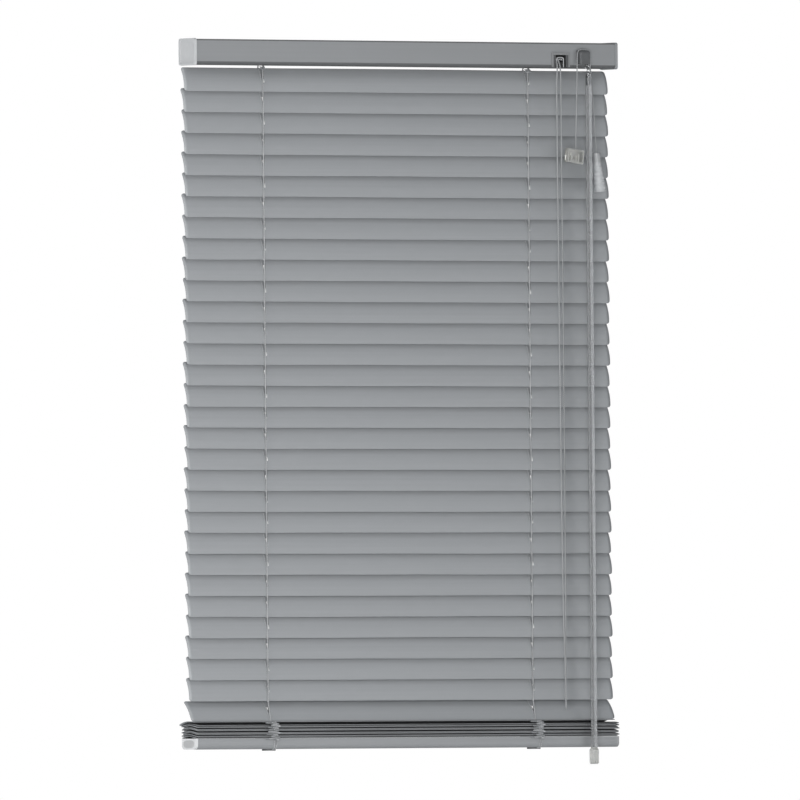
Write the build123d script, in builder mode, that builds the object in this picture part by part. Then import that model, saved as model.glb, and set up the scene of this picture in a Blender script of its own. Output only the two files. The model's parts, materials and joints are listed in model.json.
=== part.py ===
"""Venetian blind, partly lowered: headrail, hanging and gathered slats, ladders, cords, tilter and wand.

Millimetres. The origin is the middle of the headrail's back face, X runs along the rail, the room
is at -Y and Z is up.
"""

import math
import os

from build123d import *

os.makedirs("parts", exist_ok=True)

# Widths: the spacing of the ladders drives the rails, the slats and the fittings beside the right ladder
ladder_spacing = 336.0
blind_offset = -5.0
lock_from_ladder = 32.5
tilter_from_lock = 30.5
end_from_tilter = 39.5
slat_overhang = 3.0
lock_x = blind_offset + ladder_spacing / 2 + lock_from_ladder
tilter_x = lock_x + tilter_from_lock

# Headrail
rail_length = 2 * (tilter_x + end_from_tilter)
rail_depth = 27.0
rail_height = 26.0
rail_wall = 1.0
rail_lip = 3.0
rail_corner = 3.0
rail_bottom = -rail_height / 2
rail_floor = rail_bottom + rail_wall

# End caps of the headrail
cap_plate = 3.0
cap_proud = 0.8
cap_rim = 2.2
cap_recess = 0.8
cap_plug = 9.0
cap_plug_wall = 1.6
cap_fit = 0.15
cap_corner = 2.5

# Slats
slat_length = rail_length + 2 * slat_overhang
slat_chord = 25.0
slat_crown = 2.0
slat_thick = 0.6
slat_pitch = 21.5
hanging_slats = 31
first_slat_z = -27.3
closed_tilt = 75.0
last_slat_tilt = 55.0
slot_long = 14.0
slot_wide = 4.0
blind_from_front = 12.5
blind_y = blind_from_front - rail_depth
overrun = 1.0

# Gathered slats
gathered_slats = 13
gathered_top_drop = 12.2
gathered_pitch = 1.217
stagger = 1.6
stagger_turn = 137.5
top_slat_slip = -4.5

# Bottom rail
bottom_length = rail_length
bottom_depth = 24.0
bottom_height = 11.0
bottom_wall = 1.2
bottom_round = 4.5
bottom_cap = 3.0
bottom_cap_plug = 8.0
stack_seat = 0.1
cord_hole = 4.0
plug_head = 14.0
plug_head_thick = 1.6
plug_stem = 8.0
plug_hole_fit = 0.15

# Ladders
string_thick = 1.2
string_gap = 0.2
string_end = 1.5
string_aside = 1.9
bunch_width = 17.0
bunch_deep = 4.2
bunch_rear_deep = 1.4
bunch_seat = 0.3
bunch_top_share = 0.92

# Tilt rod, drums and cradles
rod_flats = 5.0
rod_z = 2.0
rod_overhang = 12.0
drum_width = 8.0
drum_core = 9.0
drum_flange = 13.0
drum_flange_thick = 1.2
drum_journal = 8.4
drum_journal_long = 3.4
drum_fit = 0.08
cradle_arm = 2.2
cradle_arm_deep = 13.0
cradle_base_thick = 2.0
cradle_base_deep = 17.0
cradle_base_long = 30.0
cradle_slot_long = 7.0
cradle_neck_long = 20.0
cradle_fit = 0.2
cradle_neck_wall = 0.5
floor_hole_deep = 15.4

# Tilter
stem_angle = 60.0
wheel_teeth = 12
wheel_tip = 6.0
wheel_root = 4.6
tooth_share = 0.6
wheel_width = 6.0
worm_crest = 2.2
worm_turn = 2.2
worm_turns = 3
mesh_gap = 0.2
stem_radius = 1.5
stem_reach = 19.0
eye_radius = 2.6
wire = 1.0
house_left = 11.0
house_right = 7.0
house_front_gap = 0.3
house_rear_space = 3.4
house_depth = rail_depth - 2 * (rail_wall + house_front_gap) - house_rear_space
house_top = 11.8
house_corner = 2.0
nose_left = 9.5
nose_right = 2.9
nose_reach = 7.0
nose_top = 5.0
nose_bottom = -9.0
nose_corner = 1.2
nose_round = 2.5
bore_fit = 0.4
wheel_fit = 0.7

# Wand
hook_radius = 2.4
hook_slack = 0.6
shank_long = 17.0
wand_socket = 4.0
sleeve_outer = 5.6
sleeve_fit = 0.3
sleeve_drop = 1.6
wand_flats = 6.2
wand_bottom = -713.0
wand_gap = 0.4
tip_diameter = 9.0
tip_long = 17.0
tip_neck = 2.5
tip_slope = 30.0
tip_edge = 1.0

# Cord lock
lock_wide = 19.0
lock_rear_space = 2.4
lock_deep = rail_depth - 2 * (rail_wall + house_front_gap) - lock_rear_space
lock_rear_top = -1.5
lock_front_deep = 8.0
lock_front_top = 2.5
bezel_wide = 23.0
bezel_top = 3.0
bezel_proud = 1.2
bezel_corner = 1.0
mouth_wide = 13.0
mouth_top = 0.4
mouth_deep = 9.6
mouth_shelf_z = -6.6
mouth_shelf_deep = 5.8
roller_diameter = 4.8
roller_end_gap = 0.3
roller_seat = 0.3
roller_grooves = 5
roller_groove_deep = 0.35
lock_fit = 0.2

# Cords
cord_thick = 1.4
cord_bend = 4.2
lift_z = -8.2
lift_from_back = 4.8
lift_from_front = 3.0
lift_gap = 0.05
arc_share = 0.49
tail_thick = 1.2

# Cord joiner and tassel
joiner_wide = 20.0
joiner_tall = 14.0
joiner_deep = 6.5
joiner_wall = 1.5
joiner_at = (208.5, -32.0, -104.0)
joiner_lean = 8.0
joiner_web = 1.4
joiner_u_share = 0.52
tassel_top_at = (235.0, -34.6, -100.5)
tassel_lean = 7.0
tassel_neck = 8.4
tassel_neck_long = 11.0
tassel_base = 13.4
tassel_long = 40.0
tassel_rings = 6
tassel_ring_deep = 0.7

# Routes of the free cords, chosen by hand
pull_route = [
    (190.3, -24.9, -3.0),
    (190.1, -27.6, -6.0),
    (189.6, -29.8, -11.0),
    (188.6, -30.5, -19.0),
    (187.7, -30.6, -33.0),
    (189.2, -31.5, -560.0),
    (189.45, -35.4, -640.0),
    (189.45, -35.4, -673.2),
    (194.35, -28.6, -673.2),
    (194.35, -28.6, -640.0),
    (194.3, -30.2, -560.0),
    (193.2, -30.6, -33.0),
    (193.1, -30.5, -19.0),
    (193.0, -29.8, -11.0),
    (192.9, -27.6, -6.0),
    (192.9, -24.9, -3.0),
]
tail_route = [
    (210.6, -32.0, -96.9),
    (211.2, -31.8, -82.0),
    (213.2, -31.0, -40.0),
    (214.6, -30.2, -8.0),
    (215.0, -30.0, 2.6),
    (217.6, -30.0, 6.0),
    (222.7, -30.0, 6.1),
    (227.8, -30.0, 6.0),
    (230.4, -30.0, 2.6),
    (231.0, -30.2, -8.0),
    (233.0, -31.4, -40.0),
    (234.6, -33.6, -80.0),
    (235.0, -34.6, -100.3),
]

# Worked out from the sizes above
slat_radius = slat_chord**2 / (8 * slat_crown) + slat_crown / 2
slat_middle = blind_offset
ladder_places = [slat_middle - ladder_spacing / 2, slat_middle + ladder_spacing / 2]
last_slat_z = first_slat_z - slat_pitch * (hanging_slats - 1)
slat_edge_angle = math.asin(slat_chord / 2 / slat_radius)
edge_half = slat_thick / 2 * math.cos(slat_edge_angle)
gathered_top = last_slat_z - gathered_top_drop
rail_front = -rail_depth
drum_half = drum_width / 2
string_r = string_thick / 2
wire_r = wire / 2
cord_r = cord_thick / 2


def save(piece, name):
    """Labels a finished piece and writes it as parts/NAME.step."""
    piece.part.label = name
    export_step(piece.part, f"parts/{name}.step")


def front_edge(tilt):
    """The front edge of a slat's middle surface, as (y, z) from its turning axis."""
    c, s = math.cos(math.radians(tilt)), math.sin(math.radians(tilt))
    half = slat_chord / 2
    return -half * c + slat_crown * s, -half * s - slat_crown * c


def rear_edge(tilt):
    """The rear edge of a slat's middle surface, as (y, z) from its turning axis."""
    c, s = math.cos(math.radians(tilt)), math.sin(math.radians(tilt))
    half = slat_chord / 2
    return half * c + slat_crown * s, half * s - slat_crown * c


def front_reach(tilt):
    """How far the slat's front skin stands before its turning axis."""
    s = math.sin(math.radians(tilt))
    return slat_radius * (1 - s) + slat_thick / 2 if s > math.cos(slat_edge_angle) else -front_edge(tilt)[0]


def slat_plane(x, z, tilt):
    """Section plane of a slat: local x to its rear edge, local y up its crown, normal along +X."""
    c, s = math.cos(math.radians(tilt)), math.sin(math.radians(tilt))
    return Plane(origin=(x, blind_y, z), x_dir=(0, c, s), z_dir=(1, 0, 0))


def slat_section(plane):
    """The thin curved section of a slat, its middle on the plane's origin."""
    half = slat_chord / 2
    outer, inner = slat_radius + slat_thick / 2, slat_radius - slat_thick / 2
    outer_y = math.sqrt(outer**2 - half**2) - slat_radius
    inner_y = math.sqrt(inner**2 - half**2) - slat_radius
    with BuildSketch(plane) as section:
        with BuildLine():
            ThreePointArc((-half, outer_y), (0, slat_thick / 2), (half, outer_y))
            Line((half, outer_y), (half, inner_y))
            ThreePointArc((half, inner_y), (0, -slat_thick / 2), (-half, inner_y))
            Line((-half, inner_y), (-half, outer_y))
        make_face()
    return section.sketch


def tube(points, radii, thickness):
    """A round cord: straight runs joined by arcs. Returns its length."""
    with BuildLine() as path:
        FilletPolyline(*points, radius=radii)
    run = path.wire()
    with BuildSketch(run ^ 0) as section:
        Circle(thickness / 2)
    sweep(section.sketch, path=run)
    return run.length


def cord_tube(route, thickness):
    """A cord along a route, its arcs as large as the runs allow. Returns its length."""
    points = [Vector(*p) for p in route]
    radii = []
    for before, at, after in zip(points, points[1:], points[2:]):
        turn = math.radians((at - before).get_angle(after - at))
        shorter = min((at - before).length, (after - at).length)
        radii.append(arc_share * shorter / math.tan(turn / 2))
    print("least bend", round(min(radii), 2))
    return tube(points, radii, thickness)


# Headrail: a folded channel with lips, cut out for the ladders, the lock and the tilter
rail_section = Plane(origin=(-rail_length / 2, -rail_depth / 2, 0), x_dir=(0, 1, 0), z_dir=(1, 0, 0))
with BuildPart() as headrail:
    with BuildSketch(rail_section) as section:
        Rectangle(rail_depth, rail_height)
        fillet(section.vertices().group_by(Axis.Y)[0], rail_corner)
        offset(amount=-rail_wall, mode=Mode.SUBTRACT)
        with Locations((0, rail_height / 2)):
            Rectangle(rail_depth - 2 * (rail_wall + rail_lip), 2 * rail_wall + overrun, mode=Mode.SUBTRACT)
    extrude(amount=rail_length)
    with BuildSketch(Plane.XY.offset(rail_bottom - overrun)):
        with Locations(*[(x, blind_y) for x in ladder_places]):
            Rectangle(cradle_neck_long + 2 * cradle_fit, floor_hole_deep + 2 * cradle_fit)
    extrude(amount=rail_wall + 2 * overrun, mode=Mode.SUBTRACT)
    with BuildSketch(Plane.XZ.offset(-rail_front - rail_wall - overrun)):
        lock_cut_top = bezel_top - rail_wall
        with Locations((lock_x, (lock_cut_top + rail_bottom - overrun) / 2)):
            Rectangle(lock_wide + 2 * lock_fit, lock_cut_top - rail_bottom + overrun)
        with Locations((tilter_x + (nose_right - nose_left) / 2, (nose_top + nose_bottom) / 2)):
            Rectangle(nose_left + nose_right + 2 * lock_fit, nose_top - nose_bottom + 2 * lock_fit)
    extrude(amount=rail_wall + rail_corner + overrun, both=True, mode=Mode.SUBTRACT)
save(headrail, "headrail")


def end_cap(side, name):
    """A moulded cap: a plate with a raised rim, and a hollow plug that fits the channel."""
    face_x = side * rail_length / 2
    plate_deep = rail_depth + cap_proud
    plate_tall = rail_height + 2 * cap_proud
    plate = Plane(origin=(face_x, -plate_deep / 2, 0), x_dir=(0, side, 0), z_dir=(side, 0, 0))
    inward = Plane(origin=(face_x, -rail_depth / 2, 0), x_dir=(0, -side, 0), z_dir=(-side, 0, 0))
    plug_deep = rail_depth - 2 * (rail_wall + cap_fit)
    plug_tall = rail_height - 2 * (rail_wall + cap_fit)
    with BuildPart() as cap:
        with BuildSketch(plate):
            RectangleRounded(plate_deep, plate_tall, cap_corner)
        extrude(amount=cap_plate)
        with BuildSketch(plate.offset(cap_plate - cap_recess)):
            RectangleRounded(plate_deep - 2 * cap_rim, plate_tall - 2 * cap_rim, cap_corner / 2)
        extrude(amount=cap_recess, mode=Mode.SUBTRACT)
        with BuildSketch(inward):
            RectangleRounded(plug_deep, plug_tall, rail_corner - rail_wall)
            Rectangle(plug_deep - 2 * cap_plug_wall, plug_tall - 2 * cap_plug_wall, mode=Mode.SUBTRACT)
        extrude(amount=cap_plug)
    save(cap, name)


end_cap(-1, "end_cap_left")
end_cap(1, "end_cap_right")


def hanging_slat(number):
    """One hanging slat at its closed tilt, with an oblong cord slot at each ladder."""
    z = first_slat_z - slat_pitch * (number - 1)
    tilt = last_slat_tilt if number == hanging_slats else closed_tilt
    c, s = math.cos(math.radians(tilt)), math.sin(math.radians(tilt))
    slots = Plane(origin=(slat_middle, blind_y, z), x_dir=(1, 0, 0), z_dir=(0, -s, c))
    with BuildPart() as slat:
        extrude(slat_section(slat_plane(slat_middle - slat_length / 2, z, tilt)), amount=slat_length)
        with BuildSketch(slots):
            with GridLocations(ladder_spacing, 0, 2, 1):
                Rectangle(slot_wide, slot_long)
        extrude(amount=slat_crown, both=True, mode=Mode.SUBTRACT)
    save(slat, f"slat_{number:02d}")


for count in range(hanging_slats):
    hanging_slat(count + 1)

# Gathered slats: flat on the bottom rail, each a little out of line with the next
bottom_top = gathered_top - slat_crown - edge_half - stack_seat - (gathered_slats - 1) * gathered_pitch
with BuildPart() as stacked_slats:
    for k in range(gathered_slats):
        share = k / (gathered_slats - 1)
        lowest = bottom_top + stack_seat + edge_half + slat_crown
        slip = top_slat_slip if k == gathered_slats - 1 else stagger * math.sin(math.radians(stagger_turn * k))
        height = lowest + share * (gathered_top - lowest)
        left = slat_middle - slat_length / 2 + slip
        extrude(slat_section(slat_plane(left, height, 0)), amount=slat_length)
    with BuildSketch(Plane.XY.offset(bottom_top - overrun)):
        with Locations((slat_middle, blind_y)):
            with GridLocations(ladder_spacing, 0, 2, 1):
                Rectangle(slot_wide, slot_long)
    extrude(amount=gathered_top - bottom_top + slat_crown + overrun, mode=Mode.SUBTRACT)
save(stacked_slats, "stacked_slats")


def bottom_outline():
    """The bottom rail's outline: flat top, rounded underside."""
    shape = Rectangle(bottom_depth, bottom_height)
    fillet(shape.vertices().group_by(Axis.Y)[0], bottom_round)


# Bottom rail: a hollow section, with cord holes above and ladder plug holes below
bottom_middle_z = bottom_top - bottom_height / 2
bottom_floor = bottom_top - bottom_height
bottom_section = Plane(
    origin=(slat_middle - bottom_length / 2, blind_y, bottom_middle_z), x_dir=(0, 1, 0), z_dir=(1, 0, 0)
)
with BuildPart() as bottom_rail:
    with BuildSketch(bottom_section):
        bottom_outline()
        offset(amount=-bottom_wall, mode=Mode.SUBTRACT)
    extrude(amount=bottom_length)
    with BuildSketch(Plane.XY.offset(bottom_top - bottom_wall - overrun)):
        with Locations(*[(x, blind_y) for x in ladder_places]):
            Circle(cord_hole / 2)
    extrude(amount=bottom_wall + 2 * overrun, mode=Mode.SUBTRACT)
    with BuildSketch(Plane.XY.offset(bottom_floor - overrun)):
        with Locations(*[(x, blind_y) for x in ladder_places]):
            Circle(plug_stem / 2 + plug_hole_fit)
    extrude(amount=bottom_wall + 2 * overrun, mode=Mode.SUBTRACT)
save(bottom_rail, "bottom_rail")

# Bottom rail end caps: a plate of the rail's outline and a plug that fits inside it
with BuildPart() as bottom_rail_caps:
    for side in (-1, 1):
        face = (slat_middle + side * bottom_length / 2, blind_y, bottom_middle_z)
        with BuildSketch(Plane(origin=face, x_dir=(0, 1, 0), z_dir=(1, 0, 0))):
            bottom_outline()
        extrude(amount=side * bottom_cap)
        with BuildSketch(Plane(origin=face, x_dir=(0, 1, 0), z_dir=(1, 0, 0))):
            bottom_outline()
            offset(amount=-bottom_wall - cap_fit, mode=Mode.REPLACE)
        extrude(amount=-side * bottom_cap_plug)
save(bottom_rail_caps, "bottom_rail_caps")

# Ladder plugs: a flat head under the rail and a stem through its floor
with BuildPart() as ladder_plugs:
    with BuildSketch(Plane.XY.offset(bottom_floor - plug_head_thick)):
        with Locations(*[(x, blind_y) for x in ladder_places]):
            Circle(plug_head / 2)
    extrude(amount=plug_head_thick)
    with BuildSketch(Plane.XY.offset(bottom_floor)):
        with Locations(*[(x, blind_y) for x in ladder_places]):
            Circle(plug_stem / 2)
    extrude(amount=bottom_wall)
save(ladder_plugs, "ladder_plugs")


def upright_strings(y, low, high):
    """A straight ladder string at each ladder place, from low to high."""
    with BuildSketch(Plane.XY.offset(low)) as strings:
        with Locations(*[(x - string_aside, y) for x in ladder_places]):
            Circle(string_r)
    extrude(strings.sketch, amount=high - low)


def slanted_strings(start, end):
    """A straight string at each ladder place, between two points given as (y, z)."""
    for x in ladder_places:
        run = Vector(0, end[0] - start[0], end[1] - start[1])
        with BuildSketch(Plane(origin=(x - string_aside, *start), x_dir=(1, 0, 0), z_dir=run)) as string:
            Circle(string_r)
        extrude(string.sketch, amount=run.length)


# Ladders: front and rear strings along the slats' edges, and the ends that wind on the drums
last_closed_z = last_slat_z + slat_pitch
string_stand = front_reach(closed_tilt) + front_edge(closed_tilt)[0] + string_gap + string_r
front_y = blind_y + front_edge(closed_tilt)[0] - string_stand
rear_y = blind_y + rear_edge(closed_tilt)[0] + string_stand
front_high = first_slat_z + front_edge(closed_tilt)[1] + string_end
rear_high = first_slat_z + rear_edge(closed_tilt)[1] + string_end
with BuildPart() as ladder_front:
    upright_strings(front_y, last_closed_z + front_edge(closed_tilt)[1] - string_end, front_high)
save(ladder_front, "ladder_front")
with BuildPart() as ladder_rear:
    upright_strings(rear_y, last_closed_z + rear_edge(closed_tilt)[1] - string_end, rear_high)
save(ladder_rear, "ladder_rear")
drum_side = drum_core / 2 + string_r + string_gap
with BuildPart() as ladder_tops:
    slanted_strings((front_y, front_high + string_gap), (blind_y - drum_side, rod_z))
    slanted_strings((rear_y, rear_high + string_gap), (blind_y + drum_side, rod_z))
save(ladder_tops, "ladder_tops")

# Slack ladder ends, crumpled before and behind the gathered slats
stack_front = blind_y - slat_chord / 2 - bunch_seat
stack_rear = blind_y + slat_chord / 2 + bunch_seat
bunch_tall = (gathered_top - bottom_top) * bunch_top_share
with BuildPart() as ladder_bunches:
    for face_y, deep in ((stack_front, bunch_deep), (stack_rear, -bunch_rear_deep)):
        with BuildSketch(Plane.XZ.offset(-face_y)):
            with Locations(*[(x, bottom_top + bunch_seat + bunch_tall / 2) for x in ladder_places]):
                RectangleRounded(bunch_width, bunch_tall, bunch_tall / 4)
        extrude(amount=deep)
save(ladder_bunches, "ladder_bunches")

# Tilt rod: six-sided, from past the left drum into the tilter
rod_left = ladder_places[0] - rod_overhang
rod_right = tilter_x + house_right + house_front_gap
with BuildPart() as tilt_rod:
    with BuildSketch(Plane(origin=(rod_left, blind_y, rod_z), x_dir=(0, 1, 0), z_dir=(1, 0, 0))):
        RegularPolygon(rod_flats / 2, 6, major_radius=False)
    extrude(amount=rod_right - rod_left)
save(tilt_rod, "tilt_rod")


def rod_section(x):
    """A plane across the tilt rod at x, facing +X."""
    return Plane(origin=(x, blind_y, rod_z), x_dir=(0, 1, 0), z_dir=(1, 0, 0))


# Ladder drums: a spool with two flanges and two journals on the rod
with BuildPart() as ladder_drums:
    for x in ladder_places:
        with BuildSketch(rod_section(x)):
            Circle(drum_journal / 2)
        extrude(amount=drum_half + drum_journal_long, both=True)
        with BuildSketch(rod_section(x)):
            Circle(drum_flange / 2)
        extrude(amount=drum_half, both=True)
        with BuildSketch(rod_section(x)):
            Circle(drum_flange / 2)
            Circle(drum_core / 2, mode=Mode.SUBTRACT)
        extrude(amount=drum_half - drum_flange_thick, both=True, mode=Mode.SUBTRACT)
        with BuildSketch(rod_section(x)):
            RegularPolygon(rod_flats / 2 + drum_fit, 6, major_radius=False)
        extrude(amount=drum_half + drum_journal_long, both=True, mode=Mode.SUBTRACT)
save(ladder_drums, "ladder_drums")

# Drum cradles: a foot on the rail's floor, a neck through it, and an arm under each journal
arm_middle = drum_half + drum_journal_long / 2
cradle_floor = rail_floor + cradle_base_thick
with BuildPart() as drum_cradles:
    for x in ladder_places:
        with BuildSketch(Plane.XY.offset(rail_floor)):
            with Locations((x, blind_y)):
                Rectangle(cradle_base_long, cradle_base_deep)
        extrude(amount=cradle_base_thick)
        with BuildSketch(Plane.XY.offset(rail_bottom)):
            with Locations((x, blind_y)):
                Rectangle(cradle_neck_long, floor_hole_deep)
        extrude(amount=rail_wall)
        with BuildSketch(Plane.XY.offset(cradle_floor)):
            with Locations((x - arm_middle, blind_y), (x + arm_middle, blind_y)):
                Rectangle(cradle_arm, cradle_arm_deep)
        extrude(amount=rod_z - cradle_floor)
        with BuildSketch(Plane.XY.offset(rail_bottom - overrun)):
            with Locations((x, blind_y)):
                Rectangle(cradle_slot_long, floor_hole_deep - 2 * cradle_neck_wall)
        extrude(amount=rail_wall + cradle_base_thick + 2 * overrun, mode=Mode.SUBTRACT)
        with BuildSketch(rod_section(x)):
            Circle(drum_journal / 2 + drum_fit)
        extrude(amount=drum_half + drum_journal_long + overrun, both=True, mode=Mode.SUBTRACT)
save(drum_cradles, "drum_cradles")

# Tilter: the stem comes down and forward through the nose, its worm beside the wheel
stem_c, stem_s = math.cos(math.radians(stem_angle)), math.sin(math.radians(stem_angle))
stem_way = Vector(0, -stem_c, -stem_s)
stem_side = Vector(0, -stem_s, stem_c)
worm_at = Vector(tilter_x, blind_y, rod_z) + stem_side * (wheel_tip + worm_crest + mesh_gap)
worm_half = worm_turn * worm_turns / 2
eye_end = worm_at + stem_way * (stem_reach + 2 * eye_radius)


def stem_plane(along):
    """A plane across the stem, facing down it, at a distance from the worm's middle."""
    return Plane(origin=worm_at + stem_way * along, x_dir=(1, 0, 0), z_dir=stem_way)


tooth_foot = wheel_root * math.cos(math.pi / wheel_teeth)
tooth_root = tooth_share * wheel_root * math.sin(math.pi / wheel_teeth)
tooth_tip = tooth_root / 2
with BuildPart() as worm_wheel:
    with BuildSketch(rod_section(tilter_x)):
        Circle(wheel_root)
        with PolarLocations(0, wheel_teeth):
            Polygon(
                (tooth_foot, -tooth_root),
                (wheel_tip, -tooth_tip),
                (wheel_tip, tooth_tip),
                (tooth_foot, tooth_root),
                align=None,
            )
        RegularPolygon(rod_flats / 2 + drum_fit, 6, major_radius=False, mode=Mode.SUBTRACT)
    extrude(amount=wheel_width / 2, both=True)
save(worm_wheel, "worm_wheel")

with BuildPart() as worm_stem:
    with BuildSketch(stem_plane(-worm_half)):
        Circle(stem_radius)
    extrude(amount=worm_half + stem_reach)
    for turn in range(worm_turns):
        with BuildSketch(stem_plane(-worm_half + worm_turn * turn)):
            Circle(worm_crest)
        extrude(amount=worm_turn / 2)
    eye_plane = Plane(origin=worm_at + stem_way * (stem_reach + eye_radius), x_dir=(1, 0, 0), z_dir=stem_side)
    with Locations(eye_plane.location):
        Torus(eye_radius, wire_r)
save(worm_stem, "worm_stem")

house_front = rail_front + rail_wall + house_front_gap
nose_middle = tilter_x + (nose_right - nose_left) / 2
with BuildPart() as tilter_housing:
    with BuildSketch(Plane.XY.offset(rail_floor)):
        with Locations((tilter_x + (house_right - house_left) / 2, house_front + house_depth / 2)):
            Rectangle(house_left + house_right, house_depth)
    house_block = extrude(amount=house_top - rail_floor)
    fillet(house_block.edges().filter_by(Axis.X).group_by(Axis.Z)[0].sort_by(Axis.Y)[0], house_corner)
    with BuildSketch(Plane.XY.offset(nose_bottom)):
        with Locations((nose_middle, (house_front + nose_corner + rail_front - nose_reach) / 2)):
            RectangleRounded(
                nose_left + nose_right, house_front + nose_corner - rail_front + nose_reach, nose_corner
            )
    nose_block = extrude(amount=nose_top - nose_bottom)
    fillet(nose_block.faces().sort_by(Axis.Z)[-1].edges().filter_by(Axis.Y), nose_round)
    with BuildSketch(rod_section(tilter_x)):
        Circle(wheel_tip + wheel_fit)
    extrude(amount=wheel_width / 2 + bore_fit, both=True, mode=Mode.SUBTRACT)
    with BuildSketch(rod_section(tilter_x)):
        Circle(rod_flats / 2 / math.cos(math.pi / 6) + bore_fit)
    extrude(amount=house_left + overrun, both=True, mode=Mode.SUBTRACT)
    with BuildSketch(stem_plane(-worm_half - bore_fit)):
        Circle(worm_crest + bore_fit)
    extrude(amount=2 * (worm_half + bore_fit), mode=Mode.SUBTRACT)
    with BuildSketch(stem_plane(0)):
        Circle(stem_radius + bore_fit)
    extrude(amount=stem_reach + 2 * eye_radius, mode=Mode.SUBTRACT)
save(tilter_housing, "tilter_housing")

# Wand: a wire hook in the stem's eye, a loose clear sleeve, a six-sided rod and its tip
wand_x, wand_y = tilter_x, eye_end.Y
hook_middle_z = eye_end.Z - hook_radius + wire + hook_slack
hook_bottom = hook_middle_z - hook_radius
shank_end = hook_bottom - shank_long
wand_top = shank_end + wand_socket
with BuildPart() as wand_hook:
    with Locations(Plane(origin=(wand_x, wand_y, hook_middle_z), x_dir=(0, 1, 0), z_dir=(1, 0, 0)).location):
        Torus(hook_radius, wire_r)
    with BuildSketch(Plane(origin=(wand_x, wand_y, shank_end))):
        Circle(wire_r)
    extrude(amount=shank_long)
save(wand_hook, "wand_hook")

with BuildPart() as wand_sleeve:
    with BuildSketch(Plane(origin=(wand_x, wand_y, wand_top + wand_gap))):
        Circle(sleeve_outer / 2)
        Circle(wire_r + sleeve_fit, mode=Mode.SUBTRACT)
    extrude(amount=hook_bottom - sleeve_drop - wand_top - wand_gap)
save(wand_sleeve, "wand_sleeve")

with BuildPart() as wand:
    with BuildSketch(Plane(origin=(wand_x, wand_y, wand_bottom))):
        RegularPolygon(wand_flats / 2, 6, major_radius=False)
    extrude(amount=wand_top - wand_bottom)
    with BuildSketch(Plane(origin=(wand_x, wand_y, shank_end - cap_fit))):
        Circle(wire_r + cap_fit)
    extrude(amount=wand_socket + cap_fit, mode=Mode.SUBTRACT)
save(wand, "wand")

with BuildPart() as wand_tip:
    with BuildSketch(Plane(origin=(wand_x, wand_y, wand_bottom - tip_long))):
        RegularPolygon(tip_diameter / 2, 6, major_radius=False)
    extrude(amount=tip_long)
    chamfer(wand_tip.faces().sort_by(Axis.Z)[-1].edges(), tip_neck, angle=tip_slope)
    chamfer(wand_tip.faces().sort_by(Axis.Z)[0].edges(), tip_edge)
save(wand_tip, "wand_tip")

# Cord lock: a body in the rail, a raised bezel round an open mouth, and a shelf for the roller
bezel_front = rail_front - bezel_proud
mouth_back = bezel_front + mouth_deep
shelf_front = mouth_back - mouth_shelf_deep
with BuildPart() as lock_housing:
    with BuildSketch(Plane.XY.offset(rail_floor)):
        with Locations((lock_x, house_front + lock_deep / 2)):
            Rectangle(lock_wide, lock_deep)
    extrude(amount=lock_rear_top - rail_floor)
    with BuildSketch(Plane.XY.offset(rail_floor)):
        with Locations((lock_x, house_front + lock_front_deep / 2)):
            Rectangle(lock_wide, lock_front_deep)
    extrude(amount=lock_front_top - rail_floor)
    with BuildSketch(Plane.XZ.offset(-rail_front)):
        with Locations((lock_x, (bezel_top + rail_floor) / 2)):
            RectangleRounded(bezel_wide, bezel_top - rail_floor, bezel_corner)
    extrude(amount=bezel_proud)
    neck_top = bezel_top - rail_wall - lock_fit
    with BuildSketch(Plane.XZ.offset(-house_front)):
        with Locations((lock_x, (neck_top + rail_floor) / 2)):
            Rectangle(lock_wide, neck_top - rail_floor)
    extrude(amount=house_front - rail_front)
    with BuildSketch(Plane.XY.offset(rail_floor - overrun)):
        with Locations((lock_x, (bezel_front - overrun + shelf_front) / 2)):
            Rectangle(mouth_wide, shelf_front - bezel_front + overrun)
    extrude(amount=mouth_top - rail_floor + overrun, mode=Mode.SUBTRACT)
    with BuildSketch(Plane.XY.offset(mouth_shelf_z)):
        with Locations((lock_x, (shelf_front - overrun + mouth_back) / 2)):
            Rectangle(mouth_wide, mouth_shelf_deep + overrun)
    extrude(amount=mouth_top - mouth_shelf_z, mode=Mode.SUBTRACT)
save(lock_housing, "lock_housing")

# Lock roller: a grooved pin across the mouth, lifted by the cords when they are pulled
roller_r = roller_diameter / 2
roller_long = mouth_wide - 2 * roller_end_gap
roller_at = (lock_x - roller_long / 2, mouth_back - roller_seat - roller_r, mouth_shelf_z + roller_seat + roller_r)
with BuildPart() as lock_roller:
    with BuildSketch(Plane(origin=roller_at, x_dir=(0, 1, 0), z_dir=(1, 0, 0))):
        Circle(roller_r)
    extrude(amount=roller_long)
    for groove in range(roller_grooves):
        groove_x = roller_long * (groove + 1) / (roller_grooves + 1)
        with BuildSketch(Plane(origin=roller_at, x_dir=(0, 1, 0), z_dir=(1, 0, 0)).offset(groove_x)):
            Circle(roller_r + overrun)
            Circle(roller_r - roller_groove_deep, mode=Mode.SUBTRACT)
        extrude(amount=roller_groove_deep, both=True, mode=Mode.SUBTRACT)
save(lock_roller, "lock_roller")

# Lift cords: from inside the bottom rail up through the slots, then along the rail to the lock
lift_end = bottom_floor + bottom_wall + string_gap
lock_side = lock_x - lock_wide / 2
with BuildPart() as lift_cords:
    for x, side_y in zip(ladder_places, (-lift_from_back, rail_front + lift_from_front)):
        climb = [(x, blind_y, lift_end), (x, blind_y, lift_z)]
        along = [(x, side_y, lift_z), (lock_side - lift_gap, side_y, lift_z)]
        lift_length = tube(climb + along, [cord_bend, cord_bend], cord_thick)
        print("lift cord length", round(lift_length, 1))
save(lift_cords, "lift_cords")

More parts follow.
